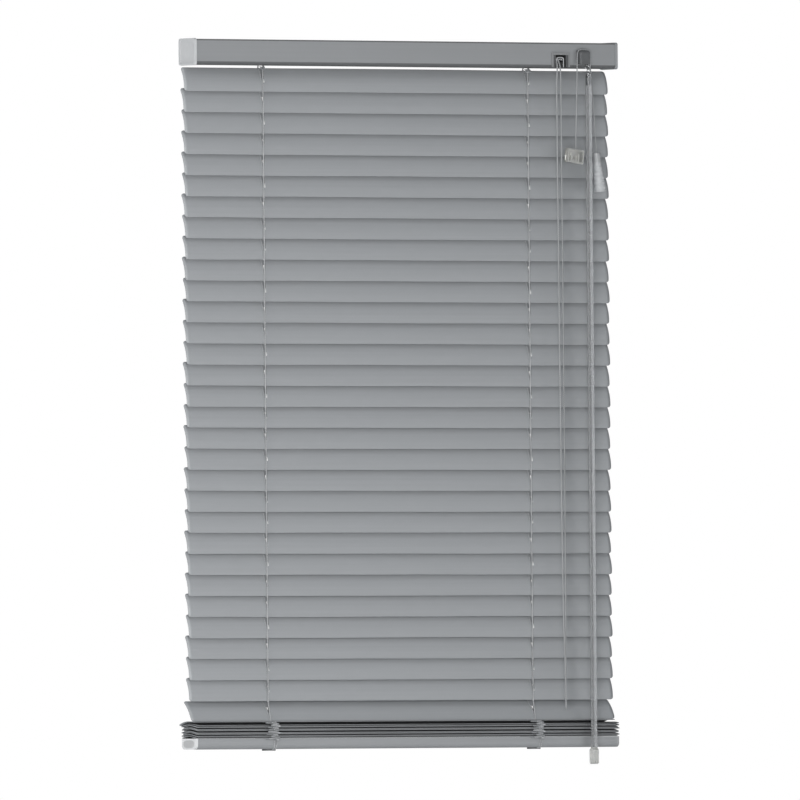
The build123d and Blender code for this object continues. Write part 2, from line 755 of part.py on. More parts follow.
# Free cords
with BuildPart() as pull_cord:
    pull_length = cord_tube(pull_route, cord_thick)
save(pull_cord, "pull_cord")
with BuildPart() as tail_cord:
    tail_length = cord_tube(tail_route, tail_thick)
save(tail_cord, "tail_cord")
for name, piece, length, thickness in (
    ("pull", pull_cord, pull_length, cord_thick),
    ("tail", tail_cord, tail_length, tail_thick),
):
    expected = math.pi * thickness**2 / 4 * length
    print(name, "cord length", round(length, 1), "volume share", round(piece.part.volume / expected, 4))

# Cord joiner: a shallow clear box, open to the room, with a U-shaped rib inside
lean_c, lean_s = math.cos(math.radians(joiner_lean)), math.sin(math.radians(joiner_lean))
joiner_back = Plane(origin=joiner_at, x_dir=(lean_c, 0, -lean_s), z_dir=(0, -1, 0)).offset(-joiner_deep / 2)
rib_wide, rib_tall = joiner_wide * joiner_u_share, joiner_tall * joiner_u_share
with BuildPart() as cord_joiner:
    with BuildSketch(joiner_back):
        Rectangle(joiner_wide, joiner_tall)
    extrude(amount=joiner_deep)
    with BuildSketch(joiner_back.offset(joiner_wall)):
        Rectangle(joiner_wide - 2 * joiner_wall, joiner_tall - 2 * joiner_wall)
    extrude(amount=joiner_deep, mode=Mode.SUBTRACT)
    with BuildSketch(joiner_back.offset(joiner_wall)):
        with Locations((0, -joiner_wall)):
            Rectangle(rib_wide, rib_tall)
        with Locations((0, -joiner_wall - joiner_web)):
            Rectangle(rib_wide - 2 * joiner_web, rib_tall, mode=Mode.SUBTRACT)
    extrude(amount=joiner_deep - 2 * joiner_wall)
save(cord_joiner, "cord_joiner")

# Tassel: a clear neck and a ringed, widening body, hanging a little out of plumb
hang_c, hang_s = math.cos(math.radians(tassel_lean)), math.sin(math.radians(tassel_lean))
tassel_plane = Plane(origin=tassel_top_at, x_dir=(hang_c, 0, hang_s), z_dir=(0, -1, 0))
ring_pitch = (tassel_long - tassel_neck_long) / (2 * tassel_rings)
outline = [(0, 0), (tassel_neck / 2, 0)]
for ring in range(2 * tassel_rings + 1):
    share = ring / (2 * tassel_rings)
    radius = (tassel_neck + share * (tassel_base - tassel_neck)) / 2 - (ring % 2) * tassel_ring_deep
    outline.append((radius, -tassel_neck_long - ring * ring_pitch))
outline.append((0, -tassel_long))
with BuildPart() as tassel:
    with BuildSketch(tassel_plane):
        with BuildLine():
            Polyline(*outline, close=True)
        make_face()
    revolve(axis=Axis(tassel_top_at, tassel_plane.y_dir))
save(tassel, "tassel")
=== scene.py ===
"""Venetian blind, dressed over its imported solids.

Metres, in the solids' own frame: X along the headrail, the room at -Y, the wall at y = 0, Z up.
Sizes and routes below are in millimetres where a comment doesn't say otherwise.
"""

import json
import math

import bmesh
import bpy
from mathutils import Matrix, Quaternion, Vector, noise


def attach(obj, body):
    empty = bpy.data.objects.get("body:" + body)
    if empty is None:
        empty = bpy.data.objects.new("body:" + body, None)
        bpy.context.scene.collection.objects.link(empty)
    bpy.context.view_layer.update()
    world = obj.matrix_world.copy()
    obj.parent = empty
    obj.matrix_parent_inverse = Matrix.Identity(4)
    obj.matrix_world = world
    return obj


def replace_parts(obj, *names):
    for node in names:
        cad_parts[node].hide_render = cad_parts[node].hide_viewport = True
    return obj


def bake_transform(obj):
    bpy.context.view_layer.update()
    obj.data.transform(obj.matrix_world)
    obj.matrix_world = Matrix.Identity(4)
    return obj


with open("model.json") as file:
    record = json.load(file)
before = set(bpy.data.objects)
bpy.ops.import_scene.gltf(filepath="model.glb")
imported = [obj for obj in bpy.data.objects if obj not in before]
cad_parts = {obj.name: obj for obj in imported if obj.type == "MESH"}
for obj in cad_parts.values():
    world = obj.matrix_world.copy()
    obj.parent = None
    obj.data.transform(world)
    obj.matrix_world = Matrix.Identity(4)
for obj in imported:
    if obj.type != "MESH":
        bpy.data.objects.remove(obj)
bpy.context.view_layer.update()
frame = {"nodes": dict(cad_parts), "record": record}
solids = frame["nodes"]
MM = 0.001

# The blind's own sizes, as its solids have them
BLIND_Y = -14.5
BLIND_MIDDLE = -5.0
LADDERS = {"left": -173.0, "right": 163.0}
STRING_ASIDE = 1.9
FIRST_SLAT_Z, SLAT_PITCH, HANGING = -27.3, 21.5, 31
CLOSED_TILT, LAST_TILT = 75.0, 55.0
SLAT_LENGTH, SLAT_CHORD, SLAT_CROWN = 537.0, 25.0, 2.0
SLAT_RADIUS = SLAT_CHORD**2 / (8 * SLAT_CROWN) + SLAT_CROWN / 2
HALF_ARC = SLAT_RADIUS * math.asin(SLAT_CHORD / 2 / SLAT_RADIUS)
STRING_STAND = 1.162
LOCK_X = 195.5


# Shader helpers

COLOUR, NUMBER = "NodeSocketColor", "NodeSocketFloat"
SURFACE = (("Colour", COLOUR), ("Roughness", NUMBER), ("Height", NUMBER))
MIX_FIRST, MIX_SECOND, MIX_RESULT = 6, 7, 2


def feed(tree, socket, value):
    """Joins a socket to another one, or sets it to a plain value."""
    if isinstance(value, bpy.types.NodeSocket):
        tree.links.new(value, socket)
    else:
        socket.default_value = value


def put(tree, kind, **settings):
    """A shader node with settings, and inputs given as a dict under the key inputs."""
    made = tree.nodes.new(kind)
    inputs = settings.pop("inputs", {})
    for key, value in settings.items():
        setattr(made, key, value)
    for key, value in inputs.items():
        feed(tree, made.inputs[key], value)
    return made


def new_group(name, inputs):
    """A shader node group that puts out a surface, and its input and output nodes."""
    group = bpy.data.node_groups.new(name, "ShaderNodeTree")
    for label, kind, value in inputs:
        socket = group.interface.new_socket(label, in_out="INPUT", socket_type=kind)
        socket.default_value = value
    for label, kind in SURFACE:
        group.interface.new_socket(label, in_out="OUTPUT", socket_type=kind)
    return group, group.nodes.new("NodeGroupInput"), group.nodes.new("NodeGroupOutput")


def put_out(group, out, *results):
    """Joins a group's colour, roughness and height to its outputs."""
    for (label, _), result in zip(SURFACE, results):
        group.links.new(result, out.inputs[label])


def math_node(tree, operation, a, b=0.0):
    return put(tree, "ShaderNodeMath", operation=operation, inputs={0: a, 1: b}).outputs[0]


def times(tree, a, b):
    return math_node(tree, "MULTIPLY", a, b)


def plus(tree, a, b):
    return math_node(tree, "ADD", a, b)


def band(tree, value, low, high):
    """A value, stretched so that low becomes 0 and high becomes 1."""
    inputs = {"Value": value, "From Min": low, "From Max": high}
    return put(tree, "ShaderNodeMapRange", inputs=inputs).outputs[0]


def tint(tree, share, first, second):
    """A colour between two, by a share."""
    inputs = {0: share, MIX_FIRST: first, MIX_SECOND: second}
    return put(tree, "ShaderNodeMix", data_type="RGBA", inputs=inputs).outputs[MIX_RESULT]


def toned(tree, colour, value):
    """A colour made darker, or paler where the value is above 1."""
    return put(tree, "ShaderNodeHueSaturation", inputs={"Value": value, "Color": colour}).outputs[0]


def grain(tree, place, scale, detail, **more):
    """The value of a noise texture at a place."""
    inputs = {"Vector": place, "Scale": scale, "Detail": detail, **more}
    return put(tree, "ShaderNodeTexNoise", inputs=inputs).outputs[0]


def own_place(tree):
    """A surface point's place in its object, in metres."""
    return put(tree, "ShaderNodeTexCoord").outputs["Object"]


def edge_share(tree):
    """The mark that the slats' meshes carry along their edges, and all over the top gathered slat: it
    places wear, and keeps the stack's painted shade off the faces.
    """
    return put(tree, "ShaderNodeAttribute", attribute_name="edge_rub").outputs["Fac"]


def baked_paint_group():
    """Coil-baked paint: faint rolling streaks along X, soft clouding, dust and orange peel."""
    group, given, out = new_group(
        "baked_paint",
        [
            ("Paint", COLOUR, (0.3, 0.3, 0.3, 1)),
            ("Streak", NUMBER, 0.1),
            ("Dust", NUMBER, 0.1),
            ("Gloss", NUMBER, 0.4),
        ],
    )
    paint = given.outputs["Paint"]
    place = own_place(group)
    stretch = {"Vector": place, "Scale": (3.0, 420.0, 420.0)}
    stretched = put(group, "ShaderNodeMapping", inputs=stretch).outputs[0]
    streaks = grain(group, stretched, 1.0, 3.0)
    clouds = grain(group, place, 9.0, 3.0)
    specks = grain(group, place, 700.0, 2.0)
    peel = grain(group, place, 1500.0, 1.0)
    darker, paler = toned(group, paint, 0.72), toned(group, paint, 1.25)
    streak = times(group, band(group, streaks, 0.4, 0.75), given.outputs["Streak"])
    streaked = tint(group, streak, paint, darker)
    dust = times(group, band(group, specks, 0.6, 0.74), band(group, clouds, 0.35, 0.7))
    dusty = tint(group, times(group, dust, given.outputs["Dust"]), streaked, paler)
    worn = times(group, edge_share(group), band(group, clouds, 0.3, 0.8))
    rough = plus(group, given.outputs["Gloss"], times(group, clouds, 0.14))
    height = plus(group, peel, times(group, streaks, 0.8))
    put_out(group, out, tint(group, worn, dusty, paler), rough, height)
    return group


def moulded_group():
    """Moulded plastic: fine spark texture and faint flow marks."""
    group, given, out = new_group(
        "moulded_plastic",
        [
            ("Plastic", COLOUR, (0.3, 0.3, 0.3, 1)),
            ("Flow", NUMBER, 0.2),
            ("Gloss", NUMBER, 0.4),
        ],
    )
    plastic = given.outputs["Plastic"]
    place = own_place(group)
    spark = grain(group, place, 2600.0, 2.0)
    flow = grain(group, place, 110.0, 4.0, Distortion=1.5)
    share = times(group, band(group, flow, 0.35, 0.75), given.outputs["Flow"])
    colour = tint(group, share, plastic, toned(group, plastic, 0.7))
    rough = plus(group, given.outputs["Gloss"], times(group, spark, 0.16))
    put_out(group, out, colour, rough, plus(group, spark, times(group, flow, 0.3)))
    return group


def braid_group():
    """Braided polyester: slanting plaits with darker valleys, a little uneven."""
    group, given, out = new_group(
        "braided_string", [("Yarn", COLOUR, (0.5, 0.5, 0.5, 1)), ("Plaits", NUMBER, 700.0)]
    )
    yarn = given.outputs["Yarn"]
    place = own_place(group)
    waves = []
    for slant in (0.6, -0.6):
        turn = {"Vector": place, "Rotation": (slant, slant, 0.0)}
        turned = put(group, "ShaderNodeMapping", inputs=turn).outputs[0]
        inputs = {"Vector": turned, "Scale": given.outputs["Plaits"], "Distortion": 0.4}
        wave = put(group, "ShaderNodeTexWave", bands_direction="Z", inputs=inputs)
        waves.append(wave.outputs["Fac"])
    plait = math_node(group, "MAXIMUM", *waves)
    uneven = grain(group, place, 60.0, 3.0)
    soiled = tint(group, band(group, uneven, 0.35, 0.7), yarn, toned(group, yarn, 0.82))
    colour = tint(group, plait, toned(group, yarn, 0.5), soiled)
    put_out(group, out, colour, plus(group, 0.72, times(group, uneven, 0.2)), plait)
    return group


def finish_material(name, group, given, bump, shade=None, **shader):
    """A material with one group for its surface; plain numbers go straight on the shader.

    bump is a strength and a distance in metres, or None. shade, where given, is a function
    that returns a colour socket for the group's first input.
    """
    made = bpy.data.materials.new(name)
    made.use_nodes = True
    tree = made.node_tree
    surface = tree.nodes["Principled BSDF"]
    skin = put(tree, "ShaderNodeGroup", node_tree=group, inputs=given)
    if shade:
        tree.links.new(shade(tree), skin.inputs[0])
    tree.links.new(skin.outputs["Colour"], surface.inputs["Base Color"])
    tree.links.new(skin.outputs["Roughness"], surface.inputs["Roughness"])
    if bump:
        strength, distance = bump
        inputs = {"Height": skin.outputs["Height"], "Strength": strength, "Distance": distance}
        relief = put(tree, "ShaderNodeBump", inputs=inputs)
        tree.links.new(relief.outputs[0], surface.inputs["Normal"])
    for label, value in shader.items():
        surface.inputs[label.replace("_", " ")].default_value = value
    return made


baked_paint, moulded, braided = baked_paint_group(), moulded_group(), braid_group()


def grey(value, cool=0.0):
    """A near-neutral grey, linear, a touch blue where cool is above 0."""
    return (value * (1 - cool), value, value * (1 + cool), 1)


# The rail's darker grey is painted shade, for its lower fold and the line along its top edge.
RAIL_GREY, RAIL_SHADE_GREY = grey(0.218, 0.03), grey(0.085, 0.03)
# The stack's grey is a darker, shaded copy of the slat paint: painted shade.
SLAT_GREY, STACK_SHADED_GREY = grey(0.262, 0.035), grey(0.215, 0.03)
# The lock's panel grey is painted shade for its recess; the darkest grey is painted shade, in the
# lock's mouth and between the gathered slats.
LOCK_GREY, LOCK_PANEL_SHADE_GREY, SHADE_GREY = grey(0.19, 0.02), grey(0.06, 0.03), grey(0.02, 0.02)
# The caps' right grey is a darker copy of the same plastic: painted shade for the end away from the
# light.
RIM_GREY, OVAL_GREY, RIGHT_CAP_SHADE_GREY = grey(0.58, 0.01), grey(0.39, 0.01), grey(0.27, 0.02)
NECK_GREY, BELL_GREY = grey(0.37, 0.02), grey(0.56, 0.02)
# The wand's dark and bright flats are painted shade and a painted highlight.
FLAT_GREY, WAND_SHADE_FLAT, WAND_HIGHLIGHT_FLAT = grey(0.42, 0.03), grey(0.06, 0.04), grey(0.76, 0.02)

# Where colours change, in metres: each pair is where a change begins and where it is complete
RAIL_FOLD_Z, RAIL_TOP_Z = (-0.0094, -0.0102), (0.0114, 0.0118)
PANEL_HALF, PANEL_TOP_Z, MOUTH_Y = (0.0096, 0.0092), (0.0006, 0.0002), (-0.0272, -0.0269)
OVAL_Z, OVAL_HALF_DEEP, OVAL_HALF_HIGH = -0.707, 0.0098, 0.0043
RIGHT_HALF_X = (0.0, 0.001)
TASSEL_BELL_Z = (-0.1095, -0.1135)

# Changes that go by a share: out from the oval's middle, and by the way a flat of the wand faces, for
# its painted shade and painted highlight
OVAL_POWER, OVAL_EDGE = 3.0, (1.0, 0.7)
WAND_ASIDE = (-0.809, 0.588, 0.0)
DARK_SIDE, BRIGHT_SIDE = (0.25, 0.6), (-0.25, -0.6)


def place_along(tree, axis):
    """A surface point's place along one axis of the blind, in metres."""
    return put(tree, "ShaderNodeSeparateXYZ", inputs={0: own_place(tree)}).outputs[axis]


def away_from(tree, axis, middle):
    """A surface point's distance from a place along one axis, in metres."""
    return math_node(tree, "ABSOLUTE", math_node(tree, "SUBTRACT", place_along(tree, axis), middle))


def rail_folds(tree):
    """The rail's face, with painted shade on its lower fold and a painted shade line along its top
    edge.
    """
    height = place_along(tree, "Z")
    face = tint(tree, band(tree, height, *RAIL_FOLD_Z), RAIL_GREY, RAIL_SHADE_GREY)
    return tint(tree, band(tree, height, *RAIL_TOP_Z), face, RAIL_SHADE_GREY)


def gathered_shade(tree):
    """Painted shade on the gathered slats: their faces darkened for the shade between them, and their
    edges in a darker, shaded copy of the slat paint.
    """
    return tint(tree, edge_share(tree), SHADE_GREY, STACK_SHADED_GREY)


def lock_mouth(tree):
    """The lock's bezel, with painted shade on the recessed panel inside it and a darker painted shade
    in its mouth.
    """
    across = band(tree, away_from(tree, "X", LOCK_X * MM), *PANEL_HALF)
    in_panel = times(tree, across, band(tree, place_along(tree, "Z"), *PANEL_TOP_Z))
    face = tint(tree, in_panel, LOCK_GREY, LOCK_PANEL_SHADE_GREY)
    return tint(tree, band(tree, place_along(tree, "Y"), *MOUTH_Y), face, SHADE_GREY)


def rimmed_cap(tree):
    """The bottom rail's caps: on the left a pale rim round a greyer oval; on the right a darker copy
    of the same plastic, as painted shade.
    """
    across = math_node(tree, "DIVIDE", away_from(tree, "Y", BLIND_Y * MM), OVAL_HALF_DEEP)
    up = math_node(tree, "DIVIDE", away_from(tree, "Z", OVAL_Z), OVAL_HALF_HIGH)
    powers = [math_node(tree, "POWER", share, OVAL_POWER) for share in (across, up)]
    left = tint(tree, band(tree, plus(tree, *powers), *OVAL_EDGE), RIM_GREY, OVAL_GREY)
    return tint(tree, band(tree, place_along(tree, "X"), *RIGHT_HALF_X), left, RIGHT_CAP_SHADE_GREY)


def tassel_milk(tree):
    """The tassel's clear neck, and its milky bell below."""
    return tint(tree, band(tree, place_along(tree, "Z"), *TASSEL_BELL_Z), NECK_GREY, BELL_GREY)


def wand_facets(tree):
    """The wand's flats: painted shade on one side and a painted highlight on the other, for the dark
    and light that the clear rod refracts.
    """
    facing = put(tree, "ShaderNodeTexCoord").outputs["Normal"]
    inputs = {0: facing, 1: WAND_ASIDE}
    turned = put(tree, "ShaderNodeVectorMath", operation="DOT_PRODUCT", inputs=inputs)
    aside = turned.outputs["Value"]
    flat = tint(tree, band(tree, aside, *DARK_SIDE), FLAT_GREY, WAND_SHADE_FLAT)
    return tint(tree, band(tree, aside, *BRIGHT_SIDE), flat, WAND_HIGHLIGHT_FLAT)


# Finishes; a bump is a strength and a distance in metres

PAINT_BUMP, MOULD_BUMP = (0.05, 0.0002), (0.08, 0.0002)
YARN_BUMP, LOOSE_BUMP = (0.5, 0.0003), (0.7, 0.0004)
STEEL_BUMP, MILK_BUMP = (0.04, 0.0001), (0.03, 0.0001)

slat_paint = finish_material(
    "slat_paint", baked_paint,
    {"Paint": SLAT_GREY, "Streak": 0.14, "Dust": 0.2, "Gloss": 0.46}, PAINT_BUMP,
)
gathered_paint = finish_material(
    "gathered_paint", baked_paint, {"Streak": 0.14, "Dust": 0.2, "Gloss": 0.6}, PAINT_BUMP,
    gathered_shade,
)
rail_paint = finish_material(
    "rail_paint", baked_paint, {"Streak": 0.12, "Dust": 0.15, "Gloss": 0.42}, PAINT_BUMP, rail_folds
)
bottom_paint = finish_material(
    "bottom_paint", baked_paint,
    {"Paint": grey(0.242, 0.03), "Streak": 0.3, "Dust": 0.15, "Gloss": 0.42}, PAINT_BUMP,
)
cap_plastic = finish_material(
    "cap_plastic", moulded, {"Plastic": grey(0.45, 0.015), "Flow": 0.2, "Gloss": 0.36}, MOULD_BUMP
)
# The right end cap gets a darker copy of the cap plastic: painted shade for the end away from the
# light.
right_cap_shaded_plastic = finish_material(
    "right_cap_shaded_plastic", moulded, {"Plastic": grey(0.25, 0.03), "Flow": 0.2, "Gloss": 0.42},
    MOULD_BUMP,
)
rimmed_plastic = finish_material(
    "rimmed_plastic", moulded, {"Flow": 0.2, "Gloss": 0.3}, MOULD_BUMP, rimmed_cap
)
lock_plastic = finish_material(
    "lock_plastic", moulded, {"Flow": 0.25, "Gloss": 0.42}, MOULD_BUMP, lock_mouth
)
dark_plastic = finish_material(
    "dark_plastic", moulded, {"Plastic": grey(0.078, 0.04), "Flow": 0.3, "Gloss": 0.42}, MOULD_BUMP
)
ladder_yarn = finish_material(
    "ladder_yarn", braided, {"Yarn": grey(0.39, 0.02), "Plaits": 260.0}, YARN_BUMP
)
# A darker copy of the ladder yarn: painted shade, for the knots under the rail and the loops by the
# gathered slats.
shaded_yarn = finish_material(
    "shaded_yarn", braided, {"Yarn": grey(0.27, 0.03), "Plaits": 260.0}, LOOSE_BUMP
)
cord_yarn = finish_material(
    "cord_yarn", braided, {"Yarn": grey(0.32, 0.02), "Plaits": 200.0}, YARN_BUMP
)
# The lift cords are coloured dark as painted shade, for where they show through the slats' slots.
shaded_lift_yarn = finish_material(
    "shaded_lift_yarn", braided, {"Yarn": grey(0.12, 0.02), "Plaits": 200.0}, YARN_BUMP
)
plain_steel = finish_material(
    "plain_steel", moulded, {"Plastic": grey(0.5, 0.01), "Flow": 0.35, "Gloss": 0.24}, STEEL_BUMP,
    Metallic=1.0,
)
clear_plastic = finish_material(
    "clear_plastic", moulded, {"Plastic": (0.72, 0.72, 0.69, 1), "Flow": 0.08, "Gloss": 0.06}, None,
    Transmission_Weight=0.8, IOR=1.35,
)
wand_plastic = finish_material(
    "wand_plastic", moulded, {"Flow": 0.05, "Gloss": 0.05}, None, wand_facets,
    Transmission_Weight=0.8, IOR=1.33,
)
milky_plastic = finish_material(
    "milky_plastic", moulded, {"Flow": 0.15, "Gloss": 0.14}, MILK_BUMP, tassel_milk,
    Transmission_Weight=0.4, IOR=1.4,
)

FINISHES = {
    "rail_paint": rail_paint,
    "slat_paint": slat_paint,
    "grey_plastic": cap_plastic,
    "dark_plastic": dark_plastic,
    "ladder_string": ladder_yarn,
    "cord": cord_yarn,
    "steel": plain_steel,
    "clear_plastic": clear_plastic,
}
OWN_FINISHES = {
    "end_cap_right": right_cap_shaded_plastic,
    "bottom_rail": bottom_paint,
    "bottom_rail_caps": rimmed_plastic,
    "lock_housing": lock_plastic,
    "lift_cords": shaded_lift_yarn,
    "wand": wand_plastic,
    "wand_sleeve": wand_plastic,
    "tassel": milky_plastic,
}
for row in frame["record"]["subparts"]:
    coats = solids[row["node"]].data.materials
    coats.clear()
    coats.append(OWN_FINISHES.get(row["node"], FINISHES[row["material_slot"]]))


# Making objects


def show(name, data):
    """A new object in the scene."""
    made = bpy.data.objects.new(name, data)
    bpy.context.scene.collection.objects.link(made)
    return made


def show_mesh(name, work, coat, smooth=True):
    """A new object from a bmesh, which is freed."""
    shape = bpy.data.meshes.new(name)
    work.to_mesh(shape)
    work.free()
    shape.polygons.foreach_set("use_smooth", [smooth] * len(shape.polygons))
    shape.materials.append(coat)
    return show(name, shape)


CURVE_STEPS, ROUND_STEPS = 12, 3


def cord_curve(name, route, thickness, coat):
    """A round cord on a smooth spline along a route given in millimetres."""
    shape = bpy.data.curves.new(name, "CURVE")
    shape.dimensions = "3D"
    line = shape.splines.new("NURBS")
    line.points.add(len(route) - 1)
    for point, at in zip(line.points, route):
        point.co = (*(v * MM for v in at), 1)
    line.order_u = 3
    line.use_endpoint_u = True
    line.resolution_u = CURVE_STEPS
    shape.bevel_depth = thickness / 2 * MM
    shape.bevel_resolution = ROUND_STEPS
    shape.use_fill_caps = True
    shape.materials.append(coat)
    return show(name, shape)


# Free cords, along the routes of their solids

CORD_THICK, TAIL_THICK = 1.4, 1.2
PULL_ROUTE = [
    (190.3, -24.9, -3.0), (190.1, -27.6, -6.0), (189.6, -29.8, -11.0), (188.6, -30.5, -19.0),
    (187.7, -30.6, -33.0), (189.2, -31.5, -560.0), (189.45, -35.4, -640.0), (189.45, -35.4, -673.2),
    (194.35, -28.6, -673.2), (194.35, -28.6, -640.0), (194.3, -30.2, -560.0), (193.2, -30.6, -33.0),
    (193.1, -30.5, -19.0), (193.0, -29.8, -11.0), (192.9, -27.6, -6.0), (192.9, -24.9, -3.0),
]
TAIL_ROUTE = [
    (210.6, -32.0, -96.9), (211.2, -31.8, -82.0), (213.2, -31.0, -40.0), (214.6, -30.2, -8.0),
    (215.0, -30.0, 2.6), (217.6, -30.0, 6.0), (222.7, -30.0, 6.1), (227.8, -30.0, 6.0),
    (230.4, -30.0, 2.6), (231.0, -30.2, -8.0), (233.0, -31.4, -40.0), (234.6, -33.6, -80.0),
    (235.0, -34.6, -100.3),
]

pull_loop = cord_curve("pull_loop", PULL_ROUTE, CORD_THICK, cord_yarn)
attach(pull_loop, "headrail")
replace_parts(pull_loop, "pull_cord")
joiner_tail = cord_curve("joiner_tail", TAIL_ROUTE, TAIL_THICK, cord_yarn)
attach(joiner_tail, "headrail")
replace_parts(joiner_tail, "tail_cord")


# The lift cords, from the bottom rail up through the slats and along the headrail to the lock

LIFT_FOOT, LIFT_Z, LIFT_END_X, LIFT_TURN = -709.9, -8.2, 185.95, 8.0
LIFT_SIDE_Y = {"left": -4.8, "right": -24.0}
lift_cords = []
for side, x in LADDERS.items():
    side_y = LIFT_SIDE_Y[side]
    route = [
        (x, BLIND_Y, LIFT_FOOT), (x, BLIND_Y, LIFT_Z - LIFT_TURN), (x, BLIND_Y, LIFT_Z),
        (x, side_y, LIFT_Z), (x + LIFT_TURN, side_y, LIFT_Z), (LIFT_END_X, side_y, LIFT_Z),
    ]
    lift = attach(cord_curve(f"lift_cord_{side}", route, CORD_THICK, shaded_lift_yarn), "headrail")
    lift_cords.append(lift)
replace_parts(lift_cords[0], "lift_cords")


# The bail in the cord lock's mouth, by its places across and up

BAIL_Y, BAIL_THICK = -26.7, 0.9
BAIL = [
    (-4.2, -12.2), (-4.2, -5.0), (-4.0, -2.4), (0.0, -2.0), (4.0, -2.4), (4.2, -5.0), (4.2, -12.2),
]
bail_route = [(LOCK_X + x, BAIL_Y, z) for x, z in BAIL]
lock_bail = cord_curve("lock_bail", bail_route, BAIL_THICK, cap_plastic)
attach(lock_bail, "headrail")


# Slats, thin rolled sheets with punched slots


def slat_frame(tilt):
    """The directions of a slat's chord, to its rear edge, and of its crown, at a tilt in degrees."""
    c, s = math.cos(math.radians(tilt)), math.sin(math.radians(tilt))
    return Vector((0, c, s)), Vector((0, -s, c))


def slat_point(x, along, off, axis_z, tilt):
    """A place on a slat: along its arc from the crown to the rear edge, and off its middle skin."""
    chord, crown = slat_frame(tilt)
    turn, reach = along / SLAT_RADIUS, SLAT_RADIUS + off
    middle = Vector((x, BLIND_Y, axis_z))
    return middle + chord * (reach * math.sin(turn)) + crown * (reach * math.cos(turn) - SLAT_RADIUS)


SLAT_THICK, WELD = 0.5, 0.02
CORNER = 3.0
SLOT_HALF_LONG, SLOT_HALF_WIDE, NEAR = 3.6, 0.85, 0.001
SLOT_ROWS = [1.5, SLOT_HALF_LONG - SLOT_HALF_WIDE, SLOT_HALF_LONG]
HALF_ROWS = [*SLOT_ROWS, 6.4, 10.2, 11.5, 12.25, HALF_ARC]
ROWS = [-v for v in reversed(HALF_ROWS)] + [0.0] + HALF_ROWS
SLOT_STATIONS = [-2.6, -SLOT_HALF_WIDE, -0.6, 0.0, 0.6, SLOT_HALF_WIDE, 2.6]
END_STATIONS = [0.0, 4.0, 14.0]
LONG_STEP = 28.0
# The strip's waves: their rates along X, from slat to slat and along the arc, and their height
WAVE_RATE_X, WAVE_RATE_SLAT, WAVE_RATE_ARC, WAVE_HIGH = 0.011, 7.3, 0.02, 0.35


def slat_stations():
    """Where a slat's cross lines stand along X: close at its ends and slots, wide apart between."""
    left, right = BLIND_MIDDLE - SLAT_LENGTH / 2, BLIND_MIDDLE + SLAT_LENGTH / 2
    stations = [left + d for d in END_STATIONS] + [right - d for d in END_STATIONS]
    for x in LADDERS.values():
        stations += [x + d for d in SLOT_STATIONS]
    fixed = sorted(stations)
    for a, b in zip(fixed, fixed[1:]):
        parts = max(1, round((b - a) / LONG_STEP))
        stations += [a + (b - a) * k / parts for k in range(1, parts)]
    return sorted(stations)


def end_inset(along):
    """How far a slat's end draws back at its rounded corners."""
    past = abs(along) - (HALF_ARC - CORNER)
    return CORNER - math.sqrt(max(CORNER**2 - past**2, 0.0)) if past > 0 else 0.0


def slot_edge(aside):
    """Half the length of a slot at a distance from its middle line."""
    rounded = math.sqrt(max(SLOT_HALF_WIDE**2 - aside**2, 0.0))
    return SLOT_HALF_LONG - SLOT_HALF_WIDE + rounded


def nearest_ladder(x):
    return min(LADDERS.values(), key=lambda place: abs(place - x))


def add_slat_sheet(sheet, wear_and_shade_layer, axis_z, tilt, slip, seed, skip_face_shade=False):
    """One thin curved slat in a bmesh, with round corners, slots and the slight waves of strip.

    Its edges are marked, for wear and to keep off the painted shade of the stack's faces, and all of
    it where the last argument is set.
    """
    stations = slat_stations()
    first, last = stations[0], stations[-1]
    chord = slat_frame(tilt)[0]
    rows = []
    for along in ROWS:
        row = []
        for x in stations:
            aside = abs(x - nearest_ladder(x))
            at_x, at = x, along
            if x in (first, last):
                at_x += end_inset(along) if x == first else -end_inset(along)
            if abs(along) == SLOT_HALF_LONG and aside <= SLOT_HALF_WIDE + NEAR:
                at = math.copysign(slot_edge(aside), along)
            spot = Vector((x * WAVE_RATE_X, seed * WAVE_RATE_SLAT, along * WAVE_RATE_ARC))
            place = slat_point(at_x + slip, at, 0.0, axis_z, tilt)
            place += chord * (WAVE_HIGH * noise.noise(spot))
            corner = sheet.verts.new(place * MM)
            on_edge = abs(along) == HALF_ARC or x in (first, last)
            corner[wear_and_shade_layer] = 1.0 if skip_face_shade or on_edge else 0.0
            row.append(corner)
        rows.append(row)
    for j, (low, high) in enumerate(zip(rows, rows[1:])):
        slot_row = -SLOT_HALF_LONG <= ROWS[j] and ROWS[j + 1] <= SLOT_HALF_LONG
        for i in range(len(stations) - 1):
            middle_x = (stations[i] + stations[i + 1]) / 2
            slot_station = abs(middle_x - nearest_ladder(middle_x)) < SLOT_HALF_WIDE
            if not (slot_station and slot_row):
                sheet.faces.new((low[i], low[i + 1], high[i + 1], high[i]))


def slat_mesh(name, sheets, coat):
    """A mesh of one or more slat sheets, each given as add_slat_sheet takes it."""
    work = bmesh.new()
    wear_and_shade_layer = work.verts.layers.float.new("edge_rub")
    for row in sheets:
        add_slat_sheet(work, wear_and_shade_layer, *row)
    bmesh.ops.remove_doubles(work, verts=work.verts, dist=WELD * MM)
    made = show_mesh(name, work, coat)
    skin = made.modifiers.new("strip_thickness", "SOLIDIFY")
    skin.thickness = SLAT_THICK * MM
    skin.offset = 0.0
    skin.use_even_offset = True
    return made


def slat_axis(number):
    return FIRST_SLAT_Z - SLAT_PITCH * (number - 1)


def slat_tilt(number):
    return LAST_TILT if number == HANGING else CLOSED_TILT


# Slats have slipped along X by a little, each by its own share
SLIP_RATE, HANGING_SLIP, GATHERED_SLIP = 2.4, 0.55, 1.7

